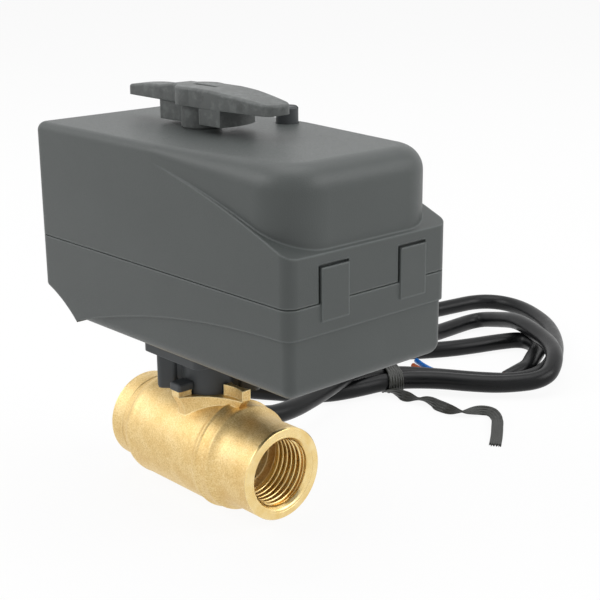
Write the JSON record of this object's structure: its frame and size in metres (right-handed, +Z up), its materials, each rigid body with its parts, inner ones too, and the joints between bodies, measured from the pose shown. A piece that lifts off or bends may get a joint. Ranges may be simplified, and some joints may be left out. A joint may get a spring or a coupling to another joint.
{
  "type": "electric ball valve",
  "caption": "Electric ball valve: brass body with a female thread at each end, dark grey gear housing, manual lever and a tied hank of mains cable",
  "frame": {"origin": "centre of the mouth of the outlet port, on the pipe axis, at the end face of the brass body", "axes": "+X out of the outlet port along the pipe; +Z up along the stem to the lever; +Y to the side that the cable runs to"},
  "size_m": [0.1569, 0.2333, 0.1191],
  "materials": {
    "forged_brass": "satin, fine shot-blast grain",
    "turned_brass": "turned",
    "plated_ball": "polished",
    "seat_ptfe": "smooth",
    "seal_rubber": "smooth",
    "black_plastic": "fine texture",
    "housing_plastic": "fine spark-eroded texture",
    "lever_plastic": "fine texture",
    "gear_plastic": "smooth",
    "cam_plastic": "smooth",
    "switch_plastic": "smooth",
    "board_laminate": "solder mask",
    "plate_steel": "zinc plated sheet",
    "screw_steel": "zinc plated",
    "spring_steel": "drawn wire",
    "cable_rubber": "smooth",
    "cable_jacket": "smooth extruded sheath",
    "core_insulation": "smooth",
    "tie_plastic": "ribbed"
  },
  "bodies": {
    "root": {"valve_body": "forged_brass", "end_connector": "forged_brass", "body_seal": "seal_rubber", "seat_ring_front": "seat_ptfe", "seat_ring_rear": "seat_ptfe", "adapter": "black_plastic", "adapter_screws": "screw_steel", "retaining_ring": "spring_steel", "housing_base": "housing_plastic", "housing_cover": "housing_plastic", "cover_gasket": "seal_rubber", "cover_screws": "screw_steel", "gear_plate": "plate_steel", "gear_plate_screws": "screw_steel", "motor": "plate_steel", "motor_screws": "screw_steel", "idler_axle": "spring_steel", "idler_clip": "spring_steel", "limit_switches": "switch_plastic", "circuit_board": "board_laminate", "board_components": "switch_plastic", "board_spacers": "turned_brass", "board_screws": "screw_steel", "terminal_block": "cam_plastic", "button_spring": "spring_steel", "button_guide": "cam_plastic", "strain_relief": "cable_rubber", "power_cable": "cable_jacket", "cable_hank": "cable_jacket", "cable_cores": "core_insulation", "twist_tie": "tie_plastic"},
    "turning_stem": {"manual_lever": "lever_plastic", "output_shaft": "gear_plastic", "output_gear": "gear_plastic", "switch_cam": "cam_plastic", "stem": "turned_brass", "stem_o_rings": "seal_rubber", "stem_thrust_washer": "seat_ptfe", "ball": "plated_ball"},
    "idler": {"idler_gear": "gear_plastic"},
    "pinion": {"motor_pinion": "gear_plastic"},
    "button": {"release_button": "black_plastic"}
  },
  "joints": [
    {"name": "valve_turn", "type": "hinge", "parent": "root", "child": "turning_stem", "pos_m": [-0.0316, 0, 0], "axis": [0, 0, -1], "range_deg": [0, 90]},
    {"name": "idler_spin", "type": "hinge", "parent": "root", "child": "idler", "pos_m": [-0.0076, 0, 0.06], "axis": [0, 0, -1], "range_deg": [-275, 5]},
    {"name": "pinion_spin", "type": "hinge", "parent": "root", "child": "pinion", "pos_m": [0.0144, 0, 0.06], "axis": [0, 0, -1], "range_deg": [-5, 725]},
    {"name": "button_press", "type": "slide", "parent": "root", "child": "button", "axis": [0, 0, -1], "range_m": [0, 0.003], "stiffness_N_per_m": 300, "springref_m": -0.001, "deforming": ["button_spring"]}
  ],
  "couplings": [
    {"joint": "idler_spin", "follows": "valve_turn", "ratio": -3},
    {"joint": "pinion_spin", "follows": "valve_turn", "ratio": 8}
  ]
}
